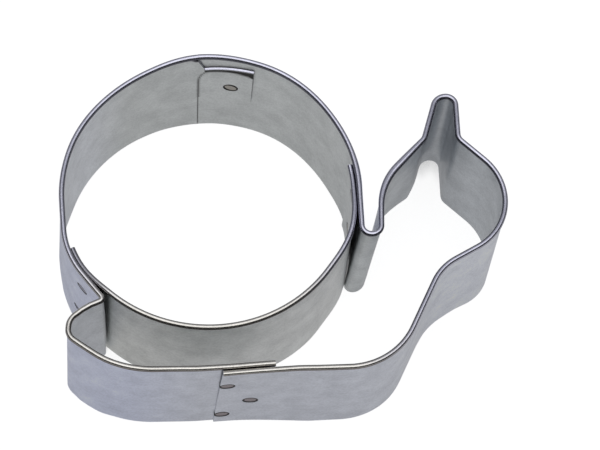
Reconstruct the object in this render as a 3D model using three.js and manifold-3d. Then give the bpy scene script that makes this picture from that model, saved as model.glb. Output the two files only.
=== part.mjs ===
// Snail cookie cutter: three tinplate strips, bent on edge and spot welded into one outline.
// Millimetres. X runs along the base towards the head, Y from the base up to the shell, Z is up.
// The cutting edge lies on Z = 0 and the rolled rim is on top.
import * as THREE from "three";
import { mergeVertices } from "three/addons/utils/BufferGeometryUtils.js";
import Module from "manifold-3d";

// Strip stock
const wallHeight = 25.4; // cutting edge to the top of the rim
const sheetThickness = 0.3;
const rimDiameter = 0.9; // bead rolled along the top edge
const lapClearance = 0.2; // free space between the rims of two lapped strips

// Shell ring, measured on the rim's centre line
const shellRadius = 24.4;
const seamTurn = 2.7; // butt seam of the two outer strips, degrees behind the top of the ring
const seamGap = 0.2;
const arcEase = 0.45; // the lower arc's radius is this much less than the ring's

// Neck: the strip leaves the ring straight down and folds back up in a narrow U
const neckDrop = 8.4; // ring centre down to the bottom of the U
const neckBend = 1.55;
const napeRise = 9; // bottom of the U up to the bend at the nape
const napeOut = 0.5; // right arm of the U out to the bend at the nape
const napeBend = 11;

// Head, with one horn on top
const headRadius = 9.9;
const headOffset = 14.1; // side of the ring to the middle of the head
const headDrop = 2.5; // ring centre down to the middle of the head
const hornTurn = 0.7; // degrees by which the horn's foot is ahead of the top of the head
const hornSpread = 29; // angle between the two bends at the horn's foot
const hornStand = 1.5; // head circle out to those bends
const hornLength = 8.9; // head circle out to the horn's tip
const hornLean = 1.45; // tip's middle ahead of the head's middle
const hornTipWidth = 3.3;
const hornFootBend = 1.8;
const hornTipBend = 1.6;

// Throat, chest and base
const chinAngle = -62; // where the strip leaves the head circle
const chinRun = 7.1; // straight run from the chin to the throat
const throatBend = 9;
const chestBack = 10.3; // middle of the head back to the corner under the chest
const chestBend = 12;
const bodyDepth = 7.5; // lower arc down to the base

// Tail
const notchTurn = 47.3; // degrees below the back of the ring, where the strip turns away from it
const notchBend = 1;
const flankTurn = 2; // degrees below the back of the ring, where the strip leaves its round
const flankBend = 14;
const tailLength = 6; // notch back to the tail's end
const tailEndRise = 6.8; // base up to the lower bend of the tail's end
const tailEndHeight = 2.8; // between the two bends of the tail's end
const tailEndLean = 0.35; // upper bend ahead of the lower one
const tailEndBend = 2.1;
const heelLength = 8.6; // tail's end forward to the corner on the base
const heelBend = 21;

// Lap joint of the two outer strips on the base
const lapStart = 0.6; // ring centre forward to the free end of the head strip
const lapLength = 8.4;
const lapLead = 4; // run over which each strip steers into the lap
const lapBend = 30;

// Laps of the lower arc
const arcTailLap = 9.5; // along the tail strip, back from the notch
const arcHeadLap = 3.6; // along the head strip, up from the neck

// Tongue of the tail strip, behind the seam at the top of the ring
const tongueLength = 9.4;
const tongueHeight = 11.3;
const tongueDrop = 2.4; // rim's top down to the tongue's upper edge
const tongueRoot = 0.5; // run along the wall that the tongue grows from
const tongueJoggle = 1; // run over which the tongue steps inwards
const tongueSetback = 0.5; // end of that step back from the strip's end

// Spot welds
const weldDiameter = 2.3;
const weldRecess = 0.1; // weld face below the sheet's face
const weldClearance = 0.1;
const baseWeldInset = 0.7; // free end to the outer two welds of the base lap
const baseWeldStep = 4.3; // from those forward to the middle weld
const baseWeldRimInset = 6.6; // rim's top down to the upper weld
const baseWeldFootInset = 4.6; // cutting edge up to the lower weld
const tongueWeldInset = 3.7; // free end of the tongue to its weld
const tongueWeldDrop = 7; // upper edge of the tongue down to its weld
const tailWeldInset = 2.2; // tail end of the lower arc to the lower weld
const tailWeldStep = 1.9; // from there to the upper weld
const tailWeldRimInset = 6.4;
const tailWeldFootInset = 7.5;
const neckWeldInset = 2; // head end of the lower arc to the upper weld
const neckWeldStep = 0.7; // from there to the lower weld
const neckWeldRimInset = 7.7;
const neckWeldFootInset = 6.8;

// Facets
const ringStep = 5; // degrees of a large round per facet
const bendStep = 15; // degrees of a bend per facet
const rimSides = 8;
const weldSides = 20;

const lapPitch = rimDiameter + lapClearance; // between the centre lines of lapped strips
const wasm = await Module();
wasm.setup();

// Plan lines

const point = (x, y) => new THREE.Vector2(x, y);
const heading = (degrees) => {
  const angle = THREE.MathUtils.degToRad(degrees);
  return point(Math.cos(angle), Math.sin(angle));
};
const leftOf = (direction) => point(-direction.y, direction.x);
const ahead = (start, direction, run) => start.clone().addScaledVector(direction, run);
const onCircle = (centre, radius, degrees) => ahead(centre, heading(degrees), radius);
const degreesAlong = (radius, run) => THREE.MathUtils.radToDeg(run / radius);

// Round from one angle to another, with its end points on the circle.
function round(centre, radius, from, to) {
  const steps = Math.max(2, Math.ceil(Math.abs(to - from) / ringStep));
  const points = [];
  for (let i = 0; i <= steps; i++) {
    points.push(onCircle(centre, radius, from + ((to - from) * i) / steps));
  }
  return points;
}

// Crossing of two lines, each given by a point and a direction.
function crossing(a, alongA, b, alongB) {
  const t = b.clone().sub(a).cross(alongB) / alongA.cross(alongB);
  return ahead(a, alongA, t);
}

// Straight runs with a bend at each inner corner; a bend takes at most half of a run.
function bends(start, corners, end) {
  const stops = [{ at: start }, ...corners, { at: end }];
  const points = [start];
  for (let i = 1; i < stops.length - 1; i++) {
    const corner = stops[i].at;
    const back = stops[i - 1].at.clone().sub(corner);
    const on = stops[i + 1].at.clone().sub(corner);
    const roomBack = i === 1 ? back.length() : back.length() / 2;
    const roomOn = i === stops.length - 2 ? on.length() : on.length() / 2;
    back.normalize();
    on.normalize();
    const turn = Math.PI - Math.acos(THREE.MathUtils.clamp(back.dot(on), -1, 1));
    const reach = Math.min(stops[i].bend * Math.tan(turn / 2), roomBack, roomOn);
    const radius = reach / Math.tan(turn / 2);
    const side = Math.sign(on.cross(back));
    const first = ahead(corner, back, reach);
    const centre = ahead(first, leftOf(back), -side * radius);
    const spoke = first.clone().sub(centre);
    const steps = Math.max(1, Math.ceil(THREE.MathUtils.radToDeg(turn) / bendStep));
    for (let k = 0; k <= steps; k++) {
      const swung = spoke.clone().rotateAround(point(0, 0), (side * turn * k) / steps);
      points.push(swung.add(centre));
    }
  }
  points.push(end);
  return points;
}

// One line from several stretches, without the doubled points where they meet.
function joined(...stretches) {
  const points = [];
  for (const next of stretches.flat()) {
    if (!points.length || points.at(-1).distanceTo(next) > 1e-4) {
      points.push(next);
    }
  }
  return points;
}

// Place and direction at a run from the start of a line.
function along(line, run) {
  let left = run;
  for (let i = 1; i < line.length; i++) {
    const step = line[i].clone().sub(line[i - 1]);
    const length = step.length();
    if (left <= length || i === line.length - 1) {
      const direction = step.normalize();
      return { at: ahead(line[i - 1], direction, left), direction };
    }
    left -= length;
  }
}

// Distance from a point, in a direction, to a line.
function reachTo(line, from, direction) {
  let nearest = Infinity;
  for (let i = 1; i < line.length; i++) {
    const step = line[i].clone().sub(line[i - 1]);
    const gap = line[i - 1].clone().sub(from);
    const across = direction.cross(step);
    const t = gap.cross(step) / across;
    const share = gap.cross(direction) / across;
    if (t > 0 && share >= 0 && share <= 1) {
      nearest = Math.min(nearest, t);
    }
  }
  return nearest;
}

// Sheet solids

// Closed outline of a strip's section, as sideways offset and height.
function rimmedSection() {
  const half = sheetThickness / 2;
  const rimRadius = rimDiameter / 2;
  const rimMiddle = wallHeight - rimRadius;
  const wallTop = rimMiddle - Math.sqrt(rimRadius ** 2 - half ** 2);
  const outline = [point(-half, 0), point(half, 0), point(half, wallTop)];
  const turn = 360 / rimSides;
  for (let i = -1; i < rimSides - 2; i++) {
    outline.push(onCircle(point(0, rimMiddle), rimRadius, i * turn));
  }
  outline.push(point(-half, wallTop));
  return outline;
}

function plainSection(bottom, top) {
  const half = sheetThickness / 2;
  return [point(-half, bottom), point(half, bottom), point(half, top), point(-half, top)];
}

// Section carried along a plan line, square to it and mitred at each point, with closed ends.
function sweep(line, section) {
  const positions = [];
  const indices = [];
  const count = section.length;
  line.forEach((here, i) => {
    const before = here.clone().sub(line[Math.max(i - 1, 0)]).normalize();
    const after = line[Math.min(i + 1, line.length - 1)].clone().sub(here).normalize();
    const direction = before.clone().add(after).normalize();
    const mitre = 1 / direction.dot(i ? before : after);
    const right = leftOf(direction).multiplyScalar(-mitre);
    for (const corner of section) {
      const place = ahead(here, right, corner.x);
      positions.push(place.x, place.y, corner.y);
    }
  });
  for (let i = 0; i < line.length - 1; i++) {
    for (let k = 0; k < count; k++) {
      const a = i * count + k;
      const b = i * count + ((k + 1) % count);
      indices.push(a, a + count, b, b, a + count, b + count);
    }
  }
  const last = (line.length - 1) * count;
  for (const [a, b, c] of THREE.ShapeUtils.triangulateShape(section, [])) {
    indices.push(a, b, c, last + a, last + c, last + b);
  }
  const geometry = new THREE.BufferGeometry();
  geometry.setAttribute("position", new THREE.Float32BufferAttribute(positions, 3));
  geometry.setIndex(indices);
  return geometry;
}

function toSolid(source) {
  const bare = source.clone();
  bare.deleteAttribute("normal");
  bare.deleteAttribute("uv");
  const geometry = mergeVertices(bare);
  const vertProperties = new Float32Array(geometry.attributes.position.array);
  const triVerts = new Uint32Array(geometry.index.array);
  return new wasm.Manifold(new wasm.Mesh({ numProp: 3, vertProperties, triVerts }));
}

function toGeometry(solid) {
  const mesh = solid.getMesh();
  const geometry = new THREE.BufferGeometry();
  geometry.setAttribute("position", new THREE.Float32BufferAttribute(mesh.vertProperties, 3));
  geometry.setIndex(Array.from(mesh.triVerts));
  return geometry;
}

// Cylinder on a level axis, from one distance to another past a plan point.
function levelPin(start, axis, from, to, height, radius) {
  const pin = new THREE.CylinderGeometry(radius, radius, to - from, weldSides);
  const axis3 = new THREE.Vector3(axis.x, axis.y, 0);
  pin.applyQuaternion(new THREE.Quaternion().setFromUnitVectors(THREE.Object3D.DEFAULT_UP, axis3));
  const middle = ahead(start, axis, (from + to) / 2);
  return pin.translate(middle.x, middle.y, height);
}

// Spot weld: seen in the sheet at shown, and held by the sheet that lies run further along axis.
function spotWeld(name, shown, axis, run, height) {
  const face = -sheetThickness / 2;
  const radius = weldDiameter / 2;
  const back = run + face - weldClearance;
  return {
    name,
    nugget: levelPin(shown, axis, face + weldRecess, back, height, radius),
    hole: levelPin(shown, axis, -sheetThickness, sheetThickness, height, radius + weldClearance),
  };
}

// Outline

const ringMiddle = point(0, 0);
const arcRadius = shellRadius - arcEase;
const arcMiddle = point(shellRadius - lapPitch - arcRadius, 0);
const baseLine = arcMiddle.y - arcRadius - bodyDepth;

// Lower arc of the shell, from the tail side to the head side.
const notchAngle = 180 + notchTurn;
const arcTailEnd = notchAngle - degreesAlong(arcRadius, arcTailLap);
const arcHeadEnd = 360 + degreesAlong(arcRadius, arcHeadLap);
const arcLine = round(arcMiddle, arcRadius, arcTailEnd, arcHeadEnd);

// Both outer strips steer across the base line by the same slope and lie side by side in the lap.
const lapEnd = lapStart + lapLength;
const lapSlope = lapPitch / (lapLength + 2 * lapLead);
const tailSteer = point(lapStart - lapLead, baseLine);
const headSteer = point(lapEnd + lapLead, baseLine);
const tailBaseEnd = point(lapEnd, baseLine + lapSlope * (lapEnd - tailSteer.x));
const headBaseEnd = point(lapStart, baseLine - lapSlope * (headSteer.x - lapStart));

// Tail strip: seam, left side of the ring, notch, tail, base.
const seamAngle = 90 + seamTurn;
const seamHalf = degreesAlong(shellRadius, seamGap / 2);
const flankAngle = 180 + flankTurn;
const flankHeading = heading(flankAngle + 90);
const flankStart = onCircle(ringMiddle, shellRadius, flankAngle);
const besideArc = arcRadius + lapPitch;
const notchTouch = (arcTailEnd + notchAngle) / 2;
const touchPoint = onCircle(arcMiddle, besideArc, notchTouch);
const touchHeading = heading(notchTouch + 90);
const notchRest = THREE.MathUtils.degToRad(notchAngle - notchTouch);
const notch = ahead(touchPoint, touchHeading, besideArc * Math.tan(notchRest));
const flank = crossing(flankStart, flankHeading, touchPoint, touchHeading);
const tailEnd = point(notch.x - tailLength, baseLine + tailEndRise);
const tailShoulder = point(tailEnd.x + tailEndLean, tailEnd.y + tailEndHeight);
const heel = point(tailEnd.x + heelLength, baseLine);
const tailLine = joined(
  round(ringMiddle, shellRadius, seamAngle + seamHalf, flankAngle),
  bends(
    flankStart,
    [
      { at: flank, bend: flankBend },
      { at: notch, bend: notchBend },
      { at: tailShoulder, bend: tailEndBend },
      { at: tailEnd, bend: tailEndBend },
      { at: heel, bend: heelBend },
      { at: tailSteer, bend: lapBend },
    ],
    tailBaseEnd,
  ),
);

// Head strip: seam, right side of the ring, neck, horn, head, chest, base.
const headMiddle = point(shellRadius + headOffset, -headDrop);
const armStart = point(shellRadius, 0);
const armFoot = point(shellRadius, -neckDrop);
const neckFoot = point(shellRadius + 2 * neckBend, -neckDrop);
const nape = point(neckFoot.x + napeOut, neckFoot.y + napeRise);
const hornReach = headRadius + hornStand;
const hornAngle = 90 - hornTurn;
const hornBack = onCircle(headMiddle, hornReach, hornAngle + hornSpread / 2);
const hornFront = onCircle(headMiddle, hornReach, hornAngle - hornSpread / 2);
const hornTop = headMiddle.y + headRadius + hornLength;
const hornTipMiddle = headMiddle.x + hornLean;
const browAngle = THREE.MathUtils.radToDeg(Math.acos(headRadius / hornReach));
const browEnd = hornAngle - hornSpread / 2 - browAngle;
const chin = onCircle(headMiddle, headRadius, chinAngle);
const throat = ahead(chin, heading(chinAngle - 90), chinRun);
const chestCorner = point(headMiddle.x - chestBack, baseLine);
const headLine = joined(
  round(ringMiddle, shellRadius, seamAngle - seamHalf, 0),
  bends(
    armStart,
    [
      { at: armFoot, bend: neckBend },
      { at: neckFoot, bend: neckBend },
      { at: nape, bend: napeBend },
      { at: hornBack, bend: hornFootBend },
      { at: point(hornTipMiddle - hornTipWidth / 2, hornTop), bend: hornTipBend },
      { at: point(hornTipMiddle + hornTipWidth / 2, hornTop), bend: hornTipBend },
      { at: hornFront, bend: hornFootBend },
    ],
    onCircle(headMiddle, headRadius, browEnd),
  ),
  round(headMiddle, headRadius, browEnd, chinAngle),
  bends(
    chin,
    [
      { at: throat, bend: throatBend },
      { at: chestCorner, bend: chestBend },
      { at: headSteer, bend: lapBend },
    ],
    headBaseEnd,
  ),
);

// Tongue: a plain band that steps inwards by one sheet and its clearance, then follows the ring.
const tongueRadius = shellRadius - sheetThickness - lapClearance;
const tongueStep = seamAngle + seamHalf + degreesAlong(shellRadius, tongueSetback);
const tongueStepStart = tongueSetback + tongueJoggle;
const tongueEnd = seamAngle - degreesAlong(tongueRadius, tongueLength);
const tongueTop = wallHeight - tongueDrop;
const tongueLine = joined(
  [along(tailLine, tongueStepStart + tongueRoot).at],
  [along(tailLine, tongueStepStart).at],
  round(ringMiddle, tongueRadius, tongueStep, tongueEnd),
);

// Welds

// Seen on the outer face of the head strip, in front of the tail strip's end.
const fromLapEnd = headLine.slice().reverse();
function baseWeld(name, run, height) {
  const { at, direction } = along(fromLapEnd, run);
  const axis = leftOf(direction);
  return spotWeld(name, at, axis, reachTo(tailLine, at, axis), height);
}
const baseUpper = wallHeight - baseWeldRimInset;
const baseMiddle = (baseUpper + baseWeldFootInset) / 2;
const baseWelds = [
  baseWeld("base_weld_upper", baseWeldInset, baseUpper),
  baseWeld("base_weld_middle", baseWeldInset + baseWeldStep, baseMiddle),
  baseWeld("base_weld_lower", baseWeldInset, baseWeldFootInset),
];

// Seen on the inner face of the tongue, in front of the head strip.
const tongueWeldAngle = tongueEnd + degreesAlong(tongueRadius, tongueWeldInset);
const tongueFace = onCircle(ringMiddle, tongueRadius, tongueWeldAngle);
const tongueAxis = heading(tongueWeldAngle);
const tongueRun = reachTo(headLine, tongueFace, tongueAxis);
const tongueWeldAt = tongueTop - tongueWeldDrop;
const tongueWeld = spotWeld("tongue_weld", tongueFace, tongueAxis, tongueRun, tongueWeldAt);

// Seen on the outer face of the tail strip, which lies over the lower arc's end.
function tailWeld(name, run, height) {
  const angle = arcTailEnd + degreesAlong(arcRadius, run);
  const behind = onCircle(arcMiddle, arcRadius, angle);
  const outward = heading(angle);
  const gap = reachTo(tailLine, behind, outward);
  return spotWeld(name, ahead(behind, outward, gap), outward.negate(), gap, height);
}
const tailWelds = [
  tailWeld("tail_weld_upper", tailWeldInset + tailWeldStep, wallHeight - tailWeldRimInset),
  tailWeld("tail_weld_lower", tailWeldInset, tailWeldFootInset),
];

// Seen on the inner face of the lower arc, in front of the head strip.
function neckWeld(name, run, height) {
  const angle = arcHeadEnd - degreesAlong(arcRadius, run);
  const face = onCircle(arcMiddle, arcRadius, angle);
  const outward = heading(angle);
  return spotWeld(name, face, outward, reachTo(headLine, face, outward), height);
}
const neckWelds = [
  neckWeld("neck_weld_upper", neckWeldInset, wallHeight - neckWeldRimInset),
  neckWeld("neck_weld_lower", neckWeldInset + neckWeldStep, neckWeldFootInset),
];

// Assembly

const tinplate = { roughness: 0.35, metalness: 1 };
const tailFinish = new THREE.MeshStandardMaterial({ color: 0xb6b9bd, ...tinplate });
const headFinish = new THREE.MeshStandardMaterial({ color: 0xbabdc1, ...tinplate });
const arcFinish = new THREE.MeshStandardMaterial({ color: 0xb2b5b6, ...tinplate });
const weldFinish = new THREE.MeshStandardMaterial({ color: 0x86827c, roughness: 0.5, metalness: 1 });

const cutter = new THREE.Group();
function addPiece(name, geometry, finish) {
  const mesh = new THREE.Mesh(geometry, finish);
  mesh.name = name;
  cutter.add(mesh);
}

// Strip solid with the holes of the welds that show on it.
function pierced(solid, welds) {
  return toGeometry(welds.reduce((left, weld) => left.subtract(toSolid(weld.hole)), solid));
}

const section = rimmedSection();
const tailWall = toSolid(sweep(tailLine, section));
const tongue = toSolid(sweep(tongueLine, plainSection(tongueTop - tongueHeight, tongueTop)));
const headWall = toSolid(sweep(headLine, section));
const arcWall = toSolid(sweep(arcLine, section));
addPiece("tail_strip", pierced(tailWall.add(tongue), [...tailWelds, tongueWeld]), tailFinish);
addPiece("head_strip", pierced(headWall, baseWelds), headFinish);
addPiece("shell_arc", pierced(arcWall, neckWelds), arcFinish);
for (const weld of [...baseWelds, tongueWeld, ...tailWelds, ...neckWelds]) {
  addPiece(weld.name, weld.nugget, weldFinish);
}

// The origin is under the middle of the outline's box, on the cutting edge.
const box = new THREE.Box3().setFromObject(cutter);
const boxMiddle = box.getCenter(new THREE.Vector3());
cutter.position.set(-boxMiddle.x, -boxMiddle.y, 0);

const model = new THREE.Group();
model.add(cutter);
export default model;
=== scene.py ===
import math
import bmesh
import bpy
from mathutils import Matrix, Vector


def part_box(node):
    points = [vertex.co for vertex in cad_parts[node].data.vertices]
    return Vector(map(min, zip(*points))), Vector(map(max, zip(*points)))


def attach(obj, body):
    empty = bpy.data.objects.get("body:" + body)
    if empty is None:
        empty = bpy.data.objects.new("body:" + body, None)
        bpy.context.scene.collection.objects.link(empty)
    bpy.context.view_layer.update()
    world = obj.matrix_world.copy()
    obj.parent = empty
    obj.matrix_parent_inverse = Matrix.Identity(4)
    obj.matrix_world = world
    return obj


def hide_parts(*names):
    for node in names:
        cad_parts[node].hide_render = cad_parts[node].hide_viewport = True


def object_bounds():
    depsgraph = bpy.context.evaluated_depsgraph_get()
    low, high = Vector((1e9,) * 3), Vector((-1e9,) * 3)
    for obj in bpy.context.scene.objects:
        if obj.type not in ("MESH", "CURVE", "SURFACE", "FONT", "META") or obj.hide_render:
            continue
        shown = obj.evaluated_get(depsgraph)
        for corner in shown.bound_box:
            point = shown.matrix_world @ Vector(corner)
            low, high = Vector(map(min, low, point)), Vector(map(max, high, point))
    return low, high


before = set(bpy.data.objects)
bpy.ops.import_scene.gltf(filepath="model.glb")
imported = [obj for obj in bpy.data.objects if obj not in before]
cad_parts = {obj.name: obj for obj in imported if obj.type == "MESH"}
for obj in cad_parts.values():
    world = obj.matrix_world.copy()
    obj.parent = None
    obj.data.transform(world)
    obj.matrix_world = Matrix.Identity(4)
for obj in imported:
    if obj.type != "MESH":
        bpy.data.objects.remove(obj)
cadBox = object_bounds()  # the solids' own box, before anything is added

mm = 0.001
nothing = 1e-6              # metres that count as none
slack = 0.01                # in millimetres, degrees and cosines, to tell points and faces apart
scene = bpy.context.scene


# Plan of the outline, in millimetres from the middle of the shell ring

sheet = {
    "wallHeight": 25.4,     # cutting edge to the top of the rim
    "halfWall": 0.17,       # half the wall's thickness, rounded up
    "rimDiameter": 0.98,    # bead rolled along the top edge
    "plainRim": 0.9,        # that of the plain solids
    "rimPoints": 18,        # the lowest is taken out, and the wall hangs from the two beside it
    "rimFlat": 0.9,         # bead's tighter side, away from the curl
    "rimFoot": 0.8,         # share of the bead's radius down to where that side ends
    "wallLevels": 10,       # rows of faces from the rim down to the cutting edge
    "lapPitch": 1.1,        # between the middles of two lapped strips
    "runLeast": 0.001,      # shorter straights are left out
    "runLength": 2,         # longest face along a straight
    "facetLength": 0.7,     # along a bend
    "facetTurn": 7.5,       # most degrees for one facet of a bend
    "facetLeast": 1.5,      # and the fewest, on all but the tightest bends
    "smoothTurn": 32,       # degrees between two faces that still look round
}
shell = {
    "radius": 24.4,
    "seamAngle": 92.7,
    "seamGap": 0.04,
    "seamShade": 0.7,       # degrees over which the painted shade at the seam fades
    "seamDark": 0.9,
    "seamTop": 23.5,        # that painted shade ends under the bead
    "arcRadius": 23.95,     # lower arc, inside the two outer strips
    "bodyDepth": 7.5,       # lower arc down to the base
}
lap = {
    "start": 0.6,           # free end of the head strip, ahead of the ring's middle
    "length": 8.4,
    "lead": 4,              # run over which each strip steers into the lap
    "bend": 30,
}

rimRadius = sheet["rimDiameter"] / 2
ringX = cadBox[0].x / mm + shell["radius"] + sheet["plainRim"] / 2
ringY = cadBox[1].y / mm - shell["radius"] - sheet["plainRim"] / 2
ringMiddle = Vector((0, 0))
arcMiddle = Vector((shell["radius"] - sheet["lapPitch"] - shell["arcRadius"], 0))
baseLine = -shell["arcRadius"] - shell["bodyDepth"]
lapEnd = lap["start"] + lap["length"]
lapSlope = sheet["lapPitch"] / (lap["length"] + 2 * lap["lead"])
seamHalf = math.degrees(shell["seamGap"] / 2 / shell["radius"])


def heading(degrees):
    return Vector((math.cos(math.radians(degrees)), math.sin(math.radians(degrees))))


def onCircle(middle, radius, degrees):
    return middle + heading(degrees) * radius


def place(planPoint, height=0.0):  # plan millimetres to metres in the part's frame
    return Vector(((planPoint.x + ringX) * mm, (planPoint.y + ringY) * mm, height * mm))


def planOf(vert):  # and back to plan millimetres
    return Vector((vert.co.x / mm - ringX, vert.co.y / mm - ringY))


def aroundRing(at):  # millimetres out from the ring's middle, and degrees round it
    out = (at - place(ringMiddle)).xy / mm
    return out.length, math.degrees(math.atan2(out.y, out.x))


def nearness(plan, middle, reach):  # 1 in the middle, softly down to 0 at the reach
    return max(0, 1 - (plan - Vector(middle)).length_squared / reach ** 2) ** 2


# Working in edit mode

def clearAll():
    if bpy.context.object and bpy.context.object.mode != "OBJECT":
        bpy.ops.object.mode_set(mode="OBJECT")
    bpy.ops.object.select_all(action="DESELECT")


def pickVerts(test):  # selects what the test wants of the mesh in edit mode
    bpy.ops.mesh.select_all(action="DESELECT")
    data = bpy.context.object.data
    mesh = bmesh.from_edit_mesh(data)
    for vert in mesh.verts:
        vert.select_set(test(vert.co))
    mesh.select_flush(True)
    bmesh.update_edit_mesh(data)


def pickFaces(test):
    bpy.ops.mesh.select_all(action="DESELECT")
    data = bpy.context.object.data
    mesh = bmesh.from_edit_mesh(data)
    for face in mesh.faces:
        if test(face):
            face.select_set(True)
    bmesh.update_edit_mesh(data)


def lowestZ():
    return min(vert.co.z for vert in bmesh.from_edit_mesh(bpy.context.object.data).verts)


def pullOut(step, count):  # carries what is selected on, in equal steps
    for i in range(count):
        bpy.ops.mesh.extrude_region_move(TRANSFORM_OT_translate={"value": step})


# A strip starts as a circle for the bead, with the wall drawn down from it, and is then laid along its bends

def startStrip(name, start, degrees, outerSide):  # outer side: 1 is left of the way it is laid, -1 is right
    clearAll()
    bpy.ops.mesh.primitive_circle_add(
        vertices=sheet["rimPoints"], radius=rimRadius * mm, fill_type="NOTHING",
        rotation=(math.radians(90), 0, 0),
    )
    strip = bpy.context.object
    strip.name = name
    bpy.ops.object.transform_apply(location=True, rotation=True, scale=True)
    bpy.ops.object.mode_set(mode="EDIT")
    lowest = lowestZ()
    pickVerts(lambda at: at.x < -nothing and at.z > sheet["rimFoot"] * lowest)  # the curl is on the right
    bpy.ops.transform.resize(value=(sheet["rimFlat"], 1, 1), center_override=(0, 0, 0))
    pickVerts(lambda at: at.z < lowest + nothing)
    bpy.ops.mesh.delete(type="VERT")
    lowest = lowestZ()
    pickVerts(lambda at: at.z < lowest + nothing)
    down = (rimRadius - sheet["wallHeight"]) * mm - lowest
    pullOut((0, 0, down / sheet["wallLevels"]), sheet["wallLevels"])
    bpy.ops.mesh.edge_face_add()  # cutting edge
    # point layers: painted shade, which side faces out, and height up the section
    for layer in ("crease", "outerSide", "level"):
        bpy.ops.geometry.attribute_add(name=layer, data_type="FLOAT", domain="POINT")
    strip.data.attributes.active = strip.data.attributes["outerSide"]
    pickVerts(lambda at: at.x * outerSide < -nothing)
    bpy.ops.mesh.attribute_set(value_float=1.0)
    bpy.ops.object.mode_set(mode="OBJECT")
    for vert in strip.data.vertices:  # millimetres up the section
        level = vert.co.z / mm + sheet["wallHeight"] - rimRadius
        strip.data.attributes["level"].data[vert.index].value = level
    bpy.ops.object.mode_set(mode="EDIT")
    bpy.ops.mesh.select_all(action="SELECT")
    bpy.ops.mesh.edge_face_add()  # the whole section
    bpy.ops.object.mode_set(mode="OBJECT")
    strip.location = place(start, sheet["wallHeight"] - rimRadius)
    strip.rotation_euler = (0, 0, math.radians(degrees - 90))
    bpy.ops.object.transform_apply(location=True, rotation=True, scale=True)
    bpy.ops.object.mode_set(mode="EDIT")
    bpy.ops.mesh.select_all(action="SELECT")
    return strip


def runStraight(run):
    if run.length > sheet["runLeast"]:
        count = math.ceil(run.length / sheet["runLength"])
        pullOut((run.x * mm / count, run.y * mm / count, 0), count)


def spinRound(middle, radius, degrees):  # positive degrees turn left
    byLength = math.radians(abs(degrees)) * radius / sheet["facetLength"]
    steps = max(2, math.ceil(byLength), math.ceil(abs(degrees) / sheet["facetTurn"]))
    if radius > sheet["rimDiameter"]:
        steps = min(steps, max(2, math.ceil(abs(degrees) / sheet["facetLeast"])))
    bpy.ops.mesh.spin(steps=steps, angle=-math.radians(degrees), center=place(middle), axis=(0, 0, 1))


def followCorners(start, corners, end):  # straight runs, with a bend of the given radius at each corner
    stops = [start] + [corner for corner, bend in corners] + [end]
    here = start
    for i, (corner, bend) in enumerate(corners, 1):
        back = stops[i - 1] - corner
        on = stops[i + 1] - corner
        roomBack = back.length if i == 1 else back.length / 2
        roomOn = on.length if i == len(corners) else on.length / 2
        turn = math.pi - back.angle(on)
        reach = min(bend * math.tan(turn / 2), roomBack, roomOn)
        radius = reach / math.tan(turn / 2)
        side = -math.copysign(1, back.cross(on))
        first = corner + back.normalized() * reach
        away = -back.normalized()
        middle = first + Vector((-away.y, away.x)) * side * radius
        runStraight(first - here)
        spinRound(middle, radius, side * math.degrees(turn))
        here = corner + on.normalized() * reach
    runStraight(end - here)


# Tail strip: from its end in the lap along the base, round the tail, up the left of the shell to the seam

tail = {
    "notchAngle": 227.3,    # bend where the strip turns away from the ring
    "notchBend": 0.7,
    "arcLap": 9.5,          # stretch that follows the lower arc, back from the notch
    "flankAngle": 182,      # where the strip leaves the round of the ring
    "flankBend": 14,
    "length": 6,            # notch back to the tail's end
    "endRise": 6.8,         # base up to the lower bend of the tail's end
    "endHeight": 2.8,
    "endLean": 0.35,
    "endBend": 2.1,
    "heelLength": 8.6,      # tail's end forward to the corner on the base
    "heelBend": 21,
}
tongue = {
    "length": 9.4,          # past the seam, in front of the head strip
    "height": 9.9,
    "drop": 4.25,           # rim's top down to the tongue's upper edge
    "rootDrop": 1.05,       # rim's top down to that edge at the root, close under the bead
    "endNear": 1,           # faces of the end being laid lie this near to its middle
    "setback": 1.6,         # seam back to where the tongue starts to step inwards
    "joggle": 1.5,          # run of that step
    "stepIn": 0.35,
    "shoulder": 1.2,        # run over which the upper edge drops clear of the bead
    "shoulderFacets": 5,
    "tipRise": 1.0,         # upper edge at the tip above that at the shoulder
    "tipRiseDepth": 6,      # depth under that edge where nothing rises any more
    "edgeSlope": 0.34,      # upper edge falls inwards
    "edgeHinge": 0.155,     # out from the tongue's middle to where it starts to fall
    "edgeBevel": 0.05,
    "rows": (0.5, 0.8, 1.1, 1.5, 2, 2.6, 3.2, 4, 5),    # cuts from the upper edge down
    # painted shade on the tongue: the line at the seam, the band under the upper edge and the tip
    "dark": 0.95,
    "shade": 0.85,          # painted shade under the upper edge
    "tipShade": 1.05,       # and more of it towards the tip
    "tipPower": 4,
    "shadeFade": 0.3,
    "endShade": 0.4,        # degrees over which the painted shade at the tip fades
    "endPaler": 0.07,       # and how much paler it gets with each millimetre down
    "lineBack": 2,          # seam back to where the painted dark line at the seam is looked for
    "lineTop": 0.75,        # that line's start under the upper edge
    "lineDepth": 3.75,      # depth from which it runs straight down
    "lineBow": 0.1333,      # above, it bows forward by this times the square of the height
    "lineWidth": 0.32,
}


def pickEnd(at, degrees, low, high):  # faces of a strip's open end, between two heights
    ahead = heading(degrees)
    middle = place(at)
    pickFaces(lambda face: (
        abs(face.normal.xy.dot(ahead)) > 1 - slack
        and (face.calc_center_median() - middle).xy.length < tongue["endNear"] * mm
        and low * mm < face.calc_center_median().z < high * mm
    ))


def cutEnd(height):
    bpy.ops.mesh.bisect(plane_co=(0, 0, height * mm), plane_no=(0, 0, 1))


def lowerTop(by, keep):  # draws down the upper edge of the end that is being laid, above a height that stays
    mesh = bmesh.from_edit_mesh(bpy.context.object.data)
    picked = [vert for vert in mesh.verts if vert.select and vert.co.z > keep * mm]
    room = max(vert.co.z for vert in picked) - keep * mm
    for vert in picked:
        vert.co.z = keep * mm + (vert.co.z - keep * mm) * (room - by * mm) / room


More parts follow.
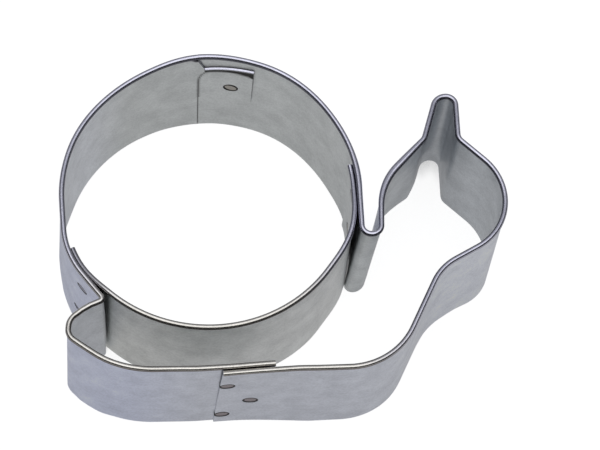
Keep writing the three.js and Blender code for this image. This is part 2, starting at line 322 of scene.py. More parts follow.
def drawTongue(strip, rootAngle, seamEnd):
    root = onCircle(ringMiddle, shell["radius"], rootAngle)
    ahead = rootAngle - 90
    rootTop = sheet["wallHeight"] - tongue["rootDrop"]
    top = sheet["wallHeight"] - tongue["drop"]
    bottom = top - tongue["height"]
    for height in (rootTop, bottom):
        pickEnd(root, ahead, 0, sheet["wallHeight"])
        cutEnd(height)
    for low, high in ((rootTop, sheet["wallHeight"]), (0, bottom)):  # on to the seam, above and below
        pickEnd(root, ahead, low, high)
        spinRound(ringMiddle, shell["radius"], seamEnd + shell["seamShade"] - rootAngle)
        spinRound(ringMiddle, shell["radius"], -shell["seamShade"])
    for row in tongue["rows"]:
        pickEnd(root, ahead, bottom, rootTop)
        cutEnd(top - row)
    pickEnd(root, ahead, bottom, rootTop)
    turn = 2 * math.degrees(math.atan(tongue["stepIn"] / tongue["joggle"]))
    radius = tongue["joggle"] / 2 / math.sin(math.radians(turn))
    ringTurn = math.degrees(tongue["joggle"] / shell["radius"])
    here = root
    facing = ahead
    for bend in (-turn - ringTurn, turn):
        middle = here + heading(facing + math.copysign(90, bend)) * radius
        spinRound(middle, radius, bend)
        here = onCircle(middle, radius, facing - math.copysign(90, bend) + bend)
        facing += bend
    behind = here.length
    start = math.degrees(math.atan2(here.y, here.x))
    angle = tongue["shoulder"] / behind / tongue["shoulderFacets"]
    for facet in range(tongue["shoulderFacets"]):
        bpy.ops.mesh.spin(steps=1, angle=angle, center=place(ringMiddle), axis=(0, 0, 1))
        lowerTop((rootTop - top) / tongue["shoulderFacets"], top - tongue["rows"][0])
        start -= math.degrees(angle)
    end = shell["seamAngle"] - math.degrees(tongue["length"] / behind)
    spinRound(ringMiddle, behind, end + tongue["endShade"] - start)
    spinRound(ringMiddle, behind, -tongue["endShade"])

    def onFrontEdge(at):  # upper edge past the shoulder, on the side that shows
        out, angle = aroundRing(at)
        onTongue = out < behind - sheet["halfWall"] / 2 and end - slack < angle < start + slack
        return onTongue and at.z > (top - slack) * mm

    pickVerts(onFrontEdge)
    bpy.ops.mesh.bevel(offset=tongue["edgeBevel"] * mm, segments=2)
    bpy.ops.object.mode_set(mode="OBJECT")
    finishTongue(strip, top, behind, start, end)
    bpy.ops.object.mode_set(mode="EDIT")


def finishTongue(strip, top, behind, start, end):  # slopes the upper edge, and paints shade: a dark line at the seam, shadow under the upper edge and a dark tip
    crease = strip.data.attributes["crease"]
    level = strip.data.attributes["level"]
    for vert in strip.data.vertices:
        out, angle = aroundRing(vert.co)
        run = math.radians(shell["seamAngle"] - angle) * behind
        depth = top - vert.co.z / mm
        if out > behind + sheet["halfWall"] or not -tongue["lineBack"] < run < tongue["length"] + slack:
            continue
        line = tongue["lineBow"] * max(0, tongue["lineDepth"] - depth) ** 2
        value = 0
        if depth > tongue["lineTop"]:
            value = tongue["dark"] - abs(run - line) / tongue["lineWidth"]
        if angle < start + slack:
            onEdge = depth < 1.2 * tongue["edgeBevel"]  # the bevel and all above
            underEdge = depth > 0.6 * tongue["edgeBevel"]  # its lowest row and all below
            level.data[vert.index].value = sheet["wallHeight"] if onEdge else vert.co.z / mm  # bright edge
            share = (start - angle) / (start - end)
            shadow = tongue["shade"] + tongue["tipShade"] * share ** tongue["tipPower"]
            if underEdge and out < behind:
                value = max(value, (shadow - depth) / tongue["shadeFade"] + 0.5)
            if underEdge and angle < end + slack:
                value = max(value, tongue["dark"] - tongue["endPaler"] * depth)
            if onEdge:
                vert.co.z += tongue["edgeSlope"] * (out - behind - tongue["edgeHinge"]) * mm
            vert.co.z += tongue["tipRise"] * share * max(0, 1 - depth / tongue["tipRiseDepth"]) * mm
        crease.data[vert.index].value = min(1, max(0, value))


def makeTailStrip():
    besideArc = shell["arcRadius"] + sheet["lapPitch"]
    touchAngle = tail["notchAngle"] - math.degrees(tail["arcLap"] / shell["arcRadius"]) / 2
    touch = onCircle(arcMiddle, besideArc, touchAngle)
    touchHeading = heading(touchAngle + 90)
    notch = touch + touchHeading * besideArc * math.tan(math.radians(tail["notchAngle"] - touchAngle))
    flankStart = onCircle(ringMiddle, shell["radius"], tail["flankAngle"])
    flankHeading = heading(tail["flankAngle"] + 90)
    flankRun = (touch - flankStart).cross(touchHeading) / flankHeading.cross(touchHeading)
    flank = flankStart + flankHeading * flankRun
    tailEnd = Vector((notch.x - tail["length"], baseLine + tail["endRise"]))
    shoulder = tailEnd + Vector((tail["endLean"], tail["endHeight"]))
    heel = Vector((tailEnd.x + tail["heelLength"], baseLine))
    steer = Vector((lap["start"] - lap["lead"], baseLine))
    baseEnd = Vector((lapEnd, baseLine + lapSlope * (lapEnd - steer.x)))
    startHeading = math.degrees(math.atan2(steer.y - baseEnd.y, steer.x - baseEnd.x))
    strip = startStrip("tailStrip", baseEnd, startHeading, 1)
    corners = [
        (steer, lap["bend"]), (heel, tail["heelBend"]), (tailEnd, tail["endBend"]),
        (shoulder, tail["endBend"]), (notch, tail["notchBend"]), (flank, tail["flankBend"]),
    ]
    followCorners(baseEnd, corners, flankStart)
    seamEnd = shell["seamAngle"] + seamHalf
    rootAngle = seamEnd + math.degrees(tongue["setback"] / shell["radius"])
    spinRound(ringMiddle, shell["radius"], rootAngle - tail["flankAngle"])
    drawTongue(strip, rootAngle, seamEnd)
    return strip


# Head strip: from the seam round the right of the shell, neck, horn, head, chin and chest into the lap

head = {
    "neckDrop": 8.4,        # ring's middle down to the bottom of the U
    "neckBend": 1.55,
    "napeRise": 9,          # bottom of the U up to the bend at the nape
    "napeOut": 0.5,
    "napeBend": 11,
    "radius": 9.9,
    "offset": 14.1,         # side of the ring to the middle of the head
    "drop": 2.5,
    "hornAngle": 89.3,
    "hornSpread": 29,       # degrees between the two bends at the horn's foot
    "hornStand": 1.5,       # head's round out to those bends
    "hornLength": 8.9,
    "hornLean": 1.45,
    "hornTipWidth": 3.3,
    "hornFootBend": 1.8,
    "hornTipBend": 2.2,
    "chinAngle": -62,
    "chinRun": 7.1,
    "throatBend": 9,
    "chestBack": 10.3,      # head's middle back to the corner under the chest
    "chestBend": 12,
    "endSlant": 0.8,        # free end in the lap, cutting edge past the rim
    "hornShadeOut": 5,           # side of the ring out to where painted shade darkens the inside of head and horn
    "filmUp": 5,            # and the ring's middle up to there
    "hornShadeRise": 3,          # run over which that painted shade comes in
    "filmDark": 0.1,
    "openMiddle": (30, 3.5),    # at the nape the bead has opened a little
    "openReach": 8.5,
    "openLevel": 24.5,      # bead above this height
    "openOut": 0.17,
}


def makeHeadStrip():
    middle = Vector((shell["radius"] + head["offset"], -head["drop"]))
    armStart = Vector((shell["radius"], 0))
    armFoot = Vector((shell["radius"], -head["neckDrop"]))
    neckFoot = armFoot + Vector((2 * head["neckBend"], 0))
    nape = neckFoot + Vector((head["napeOut"], head["napeRise"]))
    hornReach = head["radius"] + head["hornStand"]
    hornBack = onCircle(middle, hornReach, head["hornAngle"] + head["hornSpread"] / 2)
    hornFront = onCircle(middle, hornReach, head["hornAngle"] - head["hornSpread"] / 2)
    tip = middle + Vector((head["hornLean"], head["radius"] + head["hornLength"]))
    tipHalf = Vector((head["hornTipWidth"] / 2, 0))
    browTurn = math.degrees(math.acos(head["radius"] / hornReach))
    browAngle = head["hornAngle"] - head["hornSpread"] / 2 - browTurn
    chin = onCircle(middle, head["radius"], head["chinAngle"])
    throat = chin + heading(head["chinAngle"] - 90) * head["chinRun"]
    chest = Vector((middle.x - head["chestBack"], baseLine))
    steer = Vector((lapEnd + lap["lead"], baseLine))
    baseEnd = Vector((lap["start"], baseLine - lapSlope * (steer.x - lap["start"])))
    seamEnd = shell["seamAngle"] - seamHalf
    strip = startStrip("headStrip", onCircle(ringMiddle, shell["radius"], seamEnd), seamEnd - 90, 1)
    spinRound(ringMiddle, shell["radius"], -shell["seamShade"])
    spinRound(ringMiddle, shell["radius"], shell["seamShade"] - seamEnd)
    neckToBrow = [
        (armFoot, head["neckBend"]), (neckFoot, head["neckBend"]), (nape, head["napeBend"]),
        (hornBack, head["hornFootBend"]), (tip - tipHalf, head["hornTipBend"]),
        (tip + tipHalf, head["hornTipBend"]), (hornFront, head["hornFootBend"]),
    ]
    followCorners(armStart, neckToBrow, onCircle(middle, head["radius"], browAngle))
    spinRound(middle, head["radius"], head["chinAngle"] - browAngle)
    chinToLap = [(throat, head["throatBend"]), (chest, head["chestBend"]), (steer, lap["bend"])]
    followCorners(chin, chinToLap, baseEnd)
    slant = math.atan(head["endSlant"] / sheet["wallHeight"])
    rimEnd = place(baseEnd, sheet["wallHeight"])
    bpy.ops.transform.rotate(value=-slant, orient_axis="Y", center_override=rimEnd)
    return strip


# Lower arc of the shell

arc = {
    "headLap": 4.2,         # along the head strip, up from the neck
    "tailLap": 10.3,        # along the tail strip, up from the notch
    "soil": 0.55,           # painted shade on the bead that is tucked under the tail strip's
    "lapShadeLevel": 24.2,      # bead above this height
}
arcTailEnd = tail["notchAngle"] - math.degrees(arc["tailLap"] / shell["arcRadius"])
arcTailTip = onCircle(arcMiddle, shell["arcRadius"], arcTailEnd)


def makeShellArc():
    headEnd = 360 + math.degrees(arc["headLap"] / shell["arcRadius"])
    strip = startStrip("shellArc", arcTailTip, arcTailEnd + 90, -1)
    spinRound(arcMiddle, shell["arcRadius"], headEnd - arcTailEnd)
    return strip


def closeStrip():
    bpy.ops.mesh.select_all(action="SELECT")
    bpy.ops.mesh.normals_make_consistent(inside=False)
    bpy.ops.object.mode_set(mode="OBJECT")
    bpy.ops.object.shade_smooth_by_angle(angle=math.radians(sheet["smoothTurn"]))


def shadeSeam(strip, end):
    # painted shade: the narrow gap at the seam is drawn as a dark line on both strip ends
    crease = strip.data.attributes["crease"]
    seam = place(onCircle(ringMiddle, shell["radius"], end))
    for vert in strip.data.vertices:
        if (vert.co - seam).xy.length < sheet["halfWall"] * mm and vert.co.z < shell["seamTop"] * mm:
            crease.data[vert.index].value = shell["seamDark"]


def shadeHorn(strip):  # painted shade on the inside of head and horn, coming in above the ring's middle
    crease = strip.data.attributes["crease"]
    side = strip.data.attributes["outerSide"]
    for vert in strip.data.vertices:
        plan = planOf(vert)
        if plan.x > shell["radius"] + head["hornShadeOut"] and side.data[vert.index].value < 0.5:
            film = (plan.y - head["filmUp"]) / head["hornShadeRise"]
            crease.data[vert.index].value = head["filmDark"] * min(1, max(0, film))


def openBead(strip):
    level = strip.data.attributes["level"]
    for vert in strip.data.vertices:
        share = nearness(planOf(vert), head["openMiddle"], head["openReach"])
        if level.data[vert.index].value > head["openLevel"]:
            vert.co.xy += vert.normal.xy * share * head["openOut"] * mm


def shadeLap(strip):
    # painted shade on the arc's bead, darkest at its tucked tip and fading along the lap
    crease = strip.data.attributes["crease"]
    for vert in strip.data.vertices:
        run = (planOf(vert) - arcTailTip).length
        if vert.co.z > arc["lapShadeLevel"] * mm:
            crease.data[vert.index].value = arc["soil"] * max(0, 1 - run / arc["tailLap"])


strips = {}
for node, make in (("tail_strip", makeTailStrip), ("head_strip", makeHeadStrip), ("shell_arc", makeShellArc)):
    strips[node] = make()
    closeStrip()
    print("laid", node, len(strips[node].data.polygons), "faces")
shadeSeam(strips["tail_strip"], shell["seamAngle"] + seamHalf)
shadeSeam(strips["head_strip"], shell["seamAngle"] - seamHalf)
shadeHorn(strips["head_strip"])
openBead(strips["head_strip"])
shadeLap(strips["shell_arc"])


# Spot welds: a hole in the sheet that shows the weld, with a dished disc of fused metal in it

weld = {
    "radius": 1.14,
    "stretch": 1.12,        # along the sheet
    "tailHeight": 0.75,     # height of the two at the tail, over that of the others
    "thickness": 0.27,
    "points": 32,
    "rimWidth": 0.21,       # dark ring round the weld, partly burn and partly painted shade of the gap round it
    "rimHeight": 0.4,       # that ring above and below
    "rimFade": 0.06,
    "dish": 0.006,          # each of two steps down to the middle
    "dishShare": 0.3,       # of the radius, for the inner step
    "edgeBevel": 0.04,
    "clearance": 0.04,
    "holeDepth": 1.2,       # right through the one sheet
    "holeEdge": 0.2,        # round the hole, where the new points are told which side they are on
    "outward": ("base", "tail"),    # groups that show on the outer side
}
weldSpots = {               # sheet, way it faces in plan, and millimetres along, out and up from the solid
    "base_weld_upper": ("head_strip", -86.2, 0.25, 0.4, -1.6),
    "base_weld_middle": ("head_strip", -86.2, 0, 0.4, -2.0),
    "base_weld_lower": ("head_strip", -86.2, -0.2, 0.4, -1.2),
    "tongue_weld": ("tail_strip", -105, 0, 0.04, -0.85),
    "tail_weld_upper": ("tail_strip", 216, 0, 0.4, 0),
    "tail_weld_lower": ("tail_strip", 216, 0.6, 0.4, 0),
    "neck_weld_upper": ("shell_arc", 183, 0, 0.4, 0),
    "neck_weld_lower": ("shell_arc", 181, 0, 0.4, -1.2),
}


def weldGroup(node):
    return node.split("_")[0]


def addDisc(name, radius, thickness):
    clearAll()
    bpy.ops.mesh.primitive_cylinder_add(vertices=weld["points"], radius=radius * mm, depth=thickness * mm)
    disc = bpy.context.object
    disc.name = name
    disc.scale.x = weld["stretch"]
    bpy.ops.object.transform_apply(location=True, rotation=True, scale=True)
    return disc


def setDisc(disc, node):
    facing, along, out, lift = weldSpots[node][1:]
    low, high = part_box(node)
    shift = heading(facing + 90) * along + heading(facing) * out
    disc.location = (low + high) / 2 + Vector((shift.x, shift.y, lift)) * mm
    disc.rotation_euler = (math.radians(90), 0, math.radians(facing + 90))
    if weldGroup(node) == "tail":
        disc.scale.y = weld["tailHeight"]
    at = disc.location.copy()
    bpy.ops.object.transform_apply(location=True, rotation=True, scale=True)
    return at


def cutHole(node):
    stripNode, facing = weldSpots[node][:2]
    cutter = addDisc("cutter", weld["radius"] + weld["clearance"], weld["holeDepth"])
    middle = setDisc(cutter, node)
    clearAll()
    strip = strips[stripNode]
    strip.select_set(True)
    bpy.context.view_layer.objects.active = strip
    hole = strip.modifiers.new("hole", "BOOLEAN")
    hole.operation = "DIFFERENCE"
    hole.object = cutter
    bpy.ops.object.modifier_apply(modifier="hole")
    bpy.data.objects.remove(cutter)
    side = strip.data.attributes["outerSide"]
    for vert in strip.data.vertices:
        off = vert.co - middle
        if off.length < (weld["radius"] * weld["stretch"] + weld["holeEdge"]) * mm:
            shows = off.xy.dot(heading(facing)) > 0
            side.data[vert.index].value = float(shows == (weldGroup(node) in weld["outward"]))


def makeWeld(node):
    cutHole(node)
    words = node.split("_")
    name = words[0] + "".join(word.title() for word in words[1:])
    disc = addDisc(name, weld["radius"], weld["thickness"])
    bpy.ops.object.mode_set(mode="EDIT")
    # point layer for the dark ring round the weld: partly burn, partly painted shade
    bpy.ops.geometry.attribute_add(name="weldRim", data_type="FLOAT", domain="POINT")
    disc.data.attributes.active = disc.data.attributes["weldRim"]
    bpy.ops.mesh.select_all(action="SELECT")
    bpy.ops.mesh.attribute_set(value_float=1.0)
    pickFaces(lambda face: face.normal.z > 1 - slack)
    bpy.ops.mesh.inset(thickness=weld["rimWidth"] * mm)
    inner = weld["radius"] - weld["rimWidth"]
    narrow = (weld["radius"] - weld["rimHeight"]) / inner
    bpy.ops.transform.resize(value=(1, narrow, 1), center_override=(0, 0, 0))
    for width in (weld["rimFade"], weld["radius"] * weld["dishShare"]):
        bpy.ops.mesh.inset(thickness=width * mm)
        bpy.ops.transform.translate(value=(0, 0, -weld["dish"] * mm))
        bpy.ops.mesh.attribute_set(value_float=0.0)
    outside = (weld["radius"] - slack) * mm
    pickVerts(lambda at: math.hypot(at.x / weld["stretch"], at.y) > outside and at.z > 0)
    bpy.ops.mesh.bevel(offset=weld["edgeBevel"] * mm, segments=2)
    bpy.ops.object.mode_set(mode="OBJECT")
    setDisc(disc, node)
    bpy.ops.object.shade_smooth_by_angle(angle=math.radians(sheet["smoothTurn"]))
    return disc


welds = {node: makeWeld(node) for node in weldSpots}
print("set", len(welds), "welds")


# The walls aren't quite upright: each bend by hand moves the rim or the cutting edge a little

seamBends = (               # both strips move together where they meet at the top of the shell
    ((-1, 25), 10, (0, 0.15), (0, 0.3), 1),
    ((12, 21), 14, (0.15, 0.38), (0.2, 0.3), 1),
    ((-1, 24.4), 7, (0.55, 0), (0, 0), 1),
)
handBends = {               # middle and reach in plan, moves of the cutting edge and the rim, how low it sits
    "tail_strip": (
        ((-10, -31), 14, (0, 0.75), (0, 0.6), 1),
        ((4, -31), 12, (0, 0.5), (0, 0.22), 4),
        ((-25, -1), 10, (-0.75, 0), (-0.1, 0), 1),
        ((-25, 6), 16, (0, 0), (0.1, -0.05), 1),
        ((-14, 20), 16, (0, 0), (0.3, -0.4), 1),
        ((-20.5, -20), 4, (-0.2, 0.4), (-0.2, 0.4), 1),
        ((-24, -23), 7, (-0.55, -0.3), (0, 0), 1),
        ((-17.6, -18.4), 4.5, (0.45, 0.3), (0, 0), 4),
        ((-24.2, -25), 2.8, (0.28, 0.35), (0, 0), 1),
        ((-20, -28.2), 4, (-0.12, -0.3), (0, 0), 1),
    ) + seamBends,
    "head_strip": (
        ((1, -32), 16, (0, 1.28), (0, 0.25), 4),
        ((22, -31), 9, (0, 0.15), (0, 0), 1),
        ((32, 5), 9.5, (-1.03, 1), (0, 0), 1),
        ((23.8, 3.5), 8, (0.3, 0.05), (0, 0), 4),
        ((26, -7.7), 4.3, (-1.35, 0.1), (0, 0), 1),
        ((46.5, -8.5), 7, (0.35, -0.4), (0, 0), 1),
        ((38.5, -15), 6, (0.2, -0.3), (0, 0), 1),
    ) + seamBends,
    "shell_arc": (
        ((17, -16), 11, (0.2, -0.15), (0, 0), 1),
        ((22.2, -7.5), 8, (0.86, -0.15), (0.5, -0.1), 1),
        ((23.1, 2.5), 9, (0.95, 0), (0.16, 0, -0.6), 4),
        ((-21.5, -13), 6.5, (-0.45, -0.3), (-0.08, -0.06), 4),
        ((-23, -8), 6, (-0.1, -0.05), (0.08, 0.04), 1),
        ((-22.2, -10.3), 9, (0, 0), (-0.17, -0.1, -0.75), 4),
    ),
}


def bendByHand(piece, stripNode):
    for middle, reach, footMove, rimMove, power in handBends[stripNode]:
        for vert in piece.data.vertices:
            rise = (vert.co.z / (sheet["wallHeight"] * mm)) ** power
            move = Vector(footMove).to_3d() * (1 - rise) + Vector(rimMove).to_3d() * rise
            vert.co += nearness(planOf(vert), middle, reach) * move * mm


for node, strip in strips.items():
    bendByHand(strip, node)
for node, disc in welds.items():
    bendByHand(disc, weldSpots[node][0])
print("bent by hand")


# Materials

def tone(code):  # sRGB hex to linear colour
    parts = [int(code[i:i + 2], 16) / 255 for i in (1, 3, 5)]
    return [p / 12.92 if p <= 0.04045 else ((p + 0.055) / 1.055) ** 2.4 for p in parts] + [1.0]


def addNode(tree, kind, links=None, **settings):  # a link is (node, output); other values go on the socket
    node = tree.nodes.new(kind)
    for name, value in settings.items():
        setattr(node, name, value)
    for socket, value in (links or {}).items():
        if isinstance(value, tuple) and isinstance(value[0], bpy.types.Node):
            tree.links.new(value[0].outputs[value[1]], node.inputs[socket])
        else:
            node.inputs[socket].default_value = value
    return node


def newMaterial(name):
    material = bpy.data.materials.new(name)
    material.use_nodes = True
    material.node_tree.nodes.clear()
    return material, material.node_tree


tin = {
    "inner": "#dee1e1",
    "innerHead": "#dce0e5",             # painted reflection: a cooler cast towards the head
    "innerTail": "#ebeef4",
    "outerHead": "#f3f6ff",
    "rim": ("#d9d6cf", "#d0d0de"),      # near the base, and round the shell and head; the change between them is painted reflection
    "grime": ("#432f31", "#38353f"),    # the same for the painted shade and grime in the fold under the bead
    # painted shade at seams and gaps, under the tongue's edge, on the lapped bead and inside the horn
    "crease": "#1f1d1b",
    "beadLevels": (24.0, 24.5),         # heights between which the wall turns into the bead
    "shadeAndGrimeLevels": (23.9, 24.35),       # between which the painted shade and grime come in
    "cleanLevels": (25.0, 25.27),       # and goes again
    "shadeAndGrimeShare": 0.85,
    "shadeAndGrimeLeft": 0.15,                  # of it left on the outer side round the shell and head
    "noiseRange": (0.3, 0.7),
    "cloudSwing": (0.9, 1.07),
    "lineSwing": (0.965, 1.03),
    "spangleSwing": (0.93, 1.06),
    "roughness": (0.4, 0.32),           # follows the clouds
    "beadRoughness": 0.22,
    "dentDepth": 0.15,
}
# painted reflection and light: the tin turns bluer towards the left and the head and paler inside the tail,
# standing in for the light its walls reflect there
casts = {                   # axis, and the millimetres in the part's frame between which a cast comes in
    "head": ("X", 8, 24),
    "left": ("X", -12, -30),
    "tail": ("X", -24, -33),
    "shell": ("Y", -18, -4),
}


# Satin tin coat: soft reflections, cloudy, burnished on the bead. Mix nodes have sockets of the same name, so
# they are counted: a colour Mix has its factor at 0, its colours at 6 and 7 and its result at 2
def makeTinplate(name, outerTone, coolTone):
    material, tree = newMaterial(name)
    coords = addNode(tree, "ShaderNodeTexCoord")
    split = addNode(tree, "ShaderNodeSeparateXYZ", {"Vector": (coords, "Object")})
    toward = {}
    for way, (axis, low, high) in casts.items():
        toward[way] = addNode(tree, "ShaderNodeMapRange", {
            "Value": (split, axis), "From Min": low * mm, "From Max": high * mm,
        }, interpolation_type="SMOOTHSTEP")
    far = addNode(tree, "ShaderNodeMath", {
        0: (toward["shell"], "Result"), 1: (toward["head"], "Result"),
    }, operation="MAXIMUM")
    level = addNode(tree, "ShaderNodeAttribute", attribute_name="level")
    side = addNode(tree, "ShaderNodeAttribute", attribute_name="outerSide")
    crease = addNode(tree, "ShaderNodeAttribute", attribute_name="crease")
    bead = addNode(tree, "ShaderNodeMapRange", {
        "Value": (level, "Fac"), "From Min": tin["beadLevels"][0], "From Max": tin["beadLevels"][1],
    })

    inner = addNode(tree, "ShaderNodeMix", {
        0: (toward["head"], "Result"), 6: tone(tin["inner"]), 7: tone(tin["innerHead"]),
    }, data_type="RGBA")
    inner = addNode(tree, "ShaderNodeMix", {
        0: (toward["tail"], "Result"), 6: (inner, 2), 7: tone(tin["innerTail"]),
    }, data_type="RGBA")
    outer = addNode(tree, "ShaderNodeMix", {
        0: (toward["left"], "Result"), 6: tone(outerTone), 7: tone(coolTone),
    }, data_type="RGBA")
    outer = addNode(tree, "ShaderNodeMix", {
        0: (toward["head"], "Result"), 6: (outer, 2), 7: tone(tin["outerHead"]),
    }, data_type="RGBA")
    rimTone, shadeAndGrimeTone = [addNode(tree, "ShaderNodeMix", {
        0: (far, 0), 6: tone(nearTone), 7: tone(farTone),
    }, data_type="RGBA") for nearTone, farTone in (tin["rim"], tin["grime"])]
    color = inner
    for factor, over in (((side, "Fac"), outer), ((bead, "Result"), rimTone)):
        color = addNode(tree, "ShaderNodeMix", {0: factor, 6: (color, 2), 7: (over, 2)}, data_type="RGBA")

    clouds = addNode(tree, "ShaderNodeTexNoise", {  # patches about 4 mm wide
        "Vector": (coords, "Object"), "Scale": 260.0, "Detail": 4.0, "Roughness": 0.6,
    })
    grain = addNode(tree, "ShaderNodeMapping", {
        "Vector": (coords, "Object"), "Scale": (150.0, 150.0, 2200.0),
    })
    lines = addNode(tree, "ShaderNodeTexNoise", {  # rolling lines, drawn about four times too coarse to show
        "Vector": (grain, "Vector"), "Scale": 1.0, "Detail": 3.0, "Roughness": 0.7,
    })
    spangle = addNode(tree, "ShaderNodeTexNoise", {  # crystals of the tin, about 0.3 mm wide
        "Vector": (coords, "Object"), "Scale": 2800.0, "Detail": 1.0, "Roughness": 0.5,
    })
    uses = ((clouds, "cloudSwing"), (lines, "lineSwing"), (spangle, "spangleSwing"), (clouds, "roughness"))
    ranges = {}
    for noise, use in uses:
        ranges[use] = addNode(tree, "ShaderNodeMapRange", {
            "Value": (noise, 0), "From Min": tin["noiseRange"][0], "From Max": tin["noiseRange"][1],
            "To Min": tin[use][0], "To Max": tin[use][1],
        })
    for use in ("cloudSwing", "lineSwing", "spangleSwing"):
        color = addNode(tree, "ShaderNodeMix", {
            0: 1.0, 6: (color, 2), 7: (ranges[use], "Result"),
        }, data_type="RGBA", blend_type="MULTIPLY")

    # dark band on the bead's lower side and just under it: painted shade and grime, less of it on the outer
    # side round the shell and head
    below = addNode(tree, "ShaderNodeMapRange", {
        "Value": (level, "Fac"), "From Min": tin["shadeAndGrimeLevels"][0], "From Max": tin["shadeAndGrimeLevels"][1],
    }, interpolation_type="SMOOTHSTEP")
    above = addNode(tree, "ShaderNodeMapRange", {
        "Value": (level, "Fac"), "From Min": tin["cleanLevels"][0], "From Max": tin["cleanLevels"][1],
        "To Min": tin["shadeAndGrimeShare"], "To Max": 0.0,
    }, interpolation_type="SMOOTHSTEP")
    outerFar = addNode(tree, "ShaderNodeMath", {0: (side, "Fac"), 1: (far, 0)}, operation="MULTIPLY")
    shadeAndGrimeKept = addNode(tree, "ShaderNodeMapRange", {
        "Value": (outerFar, 0), "To Min": 1.0, "To Max": tin["shadeAndGrimeLeft"],
    })
    grime = addNode(tree, "ShaderNodeMath", {
        0: (below, "Result"), 1: (above, "Result"),
    }, operation="MULTIPLY")
    grime = addNode(tree, "ShaderNodeMath", {0: (grime, 0), 1: (shadeAndGrimeKept, "Result")}, operation="MULTIPLY")
    # over the tin, first the painted shade and grime under the bead, then the painted shade of seams, gaps,
    # tongue and horn
    for factor, over in (((grime, 0), (shadeAndGrimeTone, 2)), ((crease, "Fac"), tone(tin["crease"]))):
        color = addNode(tree, "ShaderNodeMix", {0: factor, 6: (color, 2), 7: over}, data_type="RGBA")

    gloss = addNode(tree, "ShaderNodeMix", {
        0: (bead, "Result"), 2: (ranges["roughness"], "Result"), 3: tin["beadRoughness"],
    }, data_type="FLOAT")
    waves = addNode(tree, "ShaderNodeTexNoise", {"Vector": (coords, "Object"), "Scale": 110.0, "Detail": 2.0})
    dents = addNode(tree, "ShaderNodeBump", {
        "Strength": 0.5, "Distance": tin["dentDepth"] * mm, "Height": (waves, 0),
    })
    shader = addNode(tree, "ShaderNodeBsdfPrincipled", {
        "Base Color": (color, 2), "Metallic": 1.0, "Roughness": (gloss, 0), "Normal": (dents, "Normal"),
    })
    addNode(tree, "ShaderNodeOutputMaterial", {"Surface": (shader, "BSDF")})
    return material


def makeWeldSteel(name, faceTone):  # fused spots: duller than the sheet, dark along the rim, partly burn and partly painted shade
    material, tree = newMaterial(name)
    rim = addNode(tree, "ShaderNodeAttribute", attribute_name="weldRim")
    color = addNode(tree, "ShaderNodeMix", {
        0: (rim, "Fac"), 6: tone(faceTone), 7: tone("#2f2a28"),
    }, data_type="RGBA")
    shader = addNode(tree, "ShaderNodeBsdfPrincipled", {
        "Base Color": (color, 2), "Metallic": 1.0, "Roughness": 0.45,
    })
    addNode(tree, "ShaderNodeOutputMaterial", {"Surface": (shader, "BSDF")})
    return material


tinplate = makeTinplate("satinTinplate", "#e6e9f3", "#e4e9fd")
paintedLightTinplate = makeTinplate("paintedLightTinplate", "#f3f4f3", "#f3f4f1")  # painted light: the arc's outer side is paler, standing in for light reflected into its pocket by the base
brownWeld = makeWeldSteel("brownedWeldSteel", "#aba2a5")
greyWeld = makeWeldSteel("greyWeldSteel", "#bdb8b0")
blueWeld = makeWeldSteel("bluedWeldSteel", "#a5a6b4")
weldSteels = {"base": brownWeld, "tongue": greyWeld, "tail": blueWeld, "neck": greyWeld}
for node, strip in strips.items():
    strip.data.materials.append(paintedLightTinplate if node == "shell_arc" else tinplate)
    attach(strip, "root")
    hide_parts(node)
for node, disc in welds.items():
    disc.data.materials.append(weldSteels[weldGroup(node)])
    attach(disc, "root")
    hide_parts(node)
print("materials on", len(strips) + len(welds), "pieces")


# Studio

studio = {
    "floorSize": 900,
    "floorDrop": 0.05,      # under the cutting edge, so that no two faces share a plane
    "floorTone": "#a2a2a2",
    "glow": 0.88,           # white added to what the lamp gives the floor, where the camera sees it
    "glowInMetal": 0.32,    # and where metal shows it
    "gapReach": 12,         # walls this near keep that white out of narrow gaps
    "gapOpen": (0.08, 0.18),    # open share of the sky in the closest gap, and where the floor is plain again
    "gapGlow": 0.15,
    "lampSize": 0.95,
    "lampPlace": (-0.03, -0.12, 0.85),
    "lampPower": 2.8,
    "roomTone": "#f7f8ff",
    "roomTop": (0.0, 0.34, 0.94),   # way to the brightest part of the room
    "roomRange": (0.3, 0.92),       # cosines to it between which the light rises
    "roomLight": (0.02, 0.45),
}

clearAll()
bpy.ops.mesh.primitive_plane_add(size=studio["floorSize"] * mm, location=(0, 0, -studio["floorDrop"] * mm))
floor = bpy.context.object
floor.name = "floor"
bpy.ops.object.transform_apply(location=True, rotation=True, scale=True)
floorPaper, tree = newMaterial("whitePaper")  # matt and even, so that only the cutter draws the eye
diffuse = addNode(tree, "ShaderNodeBsdfDiffuse", {"Color": tone(studio["floorTone"])})
path = addNode(tree, "ShaderNodeLightPath")
shown = addNode(tree, "ShaderNodeMath", {
    0: (path, "Is Glossy Ray"), 1: (path, "Is Transmission Ray"),
}, operation="MAXIMUM")
shown = addNode(tree, "ShaderNodeMath", {0: (shown, 0), 1: studio["glowInMetal"]}, operation="MULTIPLY")
# painted shade: ambient occlusion dims the glow in narrow gaps between walls
closed = addNode(tree, "ShaderNodeAmbientOcclusion", {"Distance": studio["gapReach"] * mm}, samples=16)
gaps = addNode(tree, "ShaderNodeMapRange", {
    "Value": (closed, "AO"), "From Min": studio["gapOpen"][0], "From Max": studio["gapOpen"][1],
    "To Min": studio["gapGlow"], "To Max": studio["glow"],
}, interpolation_type="SMOOTHSTEP")
share = addNode(tree, "ShaderNodeMath", {
    0: (path, "Is Camera Ray"), 1: (gaps, "Result"), 2: (shown, 0),
}, operation="MULTIPLY_ADD")
glow = addNode(tree, "ShaderNodeEmission", {"Color": tone("#ffffff"), "Strength": (share, 0)})
surface = addNode(tree, "ShaderNodeAddShader", {0: (diffuse, "BSDF"), 1: (glow, "Emission")})
addNode(tree, "ShaderNodeOutputMaterial", {"Surface": (surface, "Shader")})
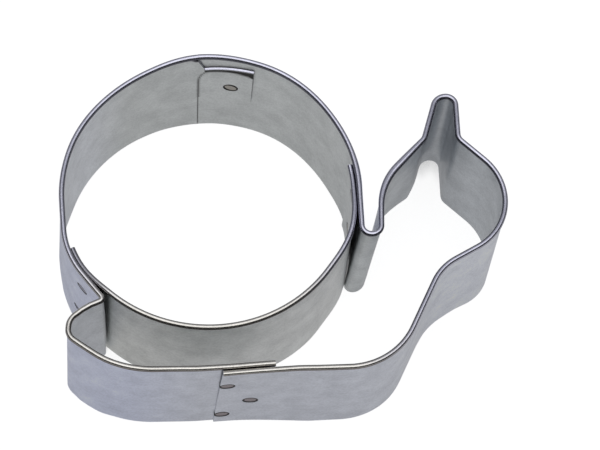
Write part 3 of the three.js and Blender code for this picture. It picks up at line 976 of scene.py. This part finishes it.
floor.data.materials.append(floorPaper)

lampData = bpy.data.lights.new("softbox", "AREA")
lampData.shape = "SQUARE"
lampData.size = studio["lampSize"]
lampData.energy = studio["lampPower"]
lamp = bpy.data.objects.new("softbox", lampData)
lamp.location = studio["lampPlace"]
lamp.rotation_euler = (-lamp.location).to_track_quat("-Z", "Y").to_euler()
scene.collection.objects.link(lamp)
lamp.visible_camera = False

world = bpy.data.worlds.new("studioRoom")
scene.world = world
world.use_nodes = True
tree = world.node_tree
tree.nodes.clear()
coords = addNode(tree, "ShaderNodeTexCoord")
lean = addNode(tree, "ShaderNodeVectorMath", {
    0: (coords, "Generated"), 1: studio["roomTop"],
}, operation="DOT_PRODUCT")
rise = addNode(tree, "ShaderNodeMapRange", {
    "Value": (lean, "Value"), "From Min": studio["roomRange"][0], "From Max": studio["roomRange"][1],
    "To Min": studio["roomLight"][0], "To Max": studio["roomLight"][1],
}, interpolation_type="SMOOTHSTEP")
path = addNode(tree, "ShaderNodeLightPath")
room = addNode(tree, "ShaderNodeMix", {  # plain white where the camera looks past the floor
    0: (path, "Is Camera Ray"), 2: (rise, "Result"), 3: 1.0,
}, data_type="FLOAT")
background = addNode(tree, "ShaderNodeBackground", {"Color": tone(studio["roomTone"]), "Strength": (room, 0)})
addNode(tree, "ShaderNodeOutputWorld", {"Surface": (background, "Background")})

view = {
    "lens": 158.0,
    "sensor": 36,
    "place": (-20.05, -178.33, 417.26),     # millimetres from the ring's middle
    "turn": (23.81, -3.584, -3.221),
    "clip": (0.01, 20),
}
cameraData = bpy.data.cameras.new("camera")
cameraData.sensor_width = view["sensor"]
cameraData.sensor_fit = "HORIZONTAL"
cameraData.lens = view["lens"]
cameraData.clip_start, cameraData.clip_end = view["clip"]
camera = bpy.data.objects.new("camera", cameraData)
camera.location = place(Vector(view["place"][:2]), view["place"][2])
camera.rotation_euler = [math.radians(turn) for turn in view["turn"]]
scene.collection.objects.link(camera)
scene.camera = camera
scene.view_settings.view_transform = "Standard"
print("studio ready")
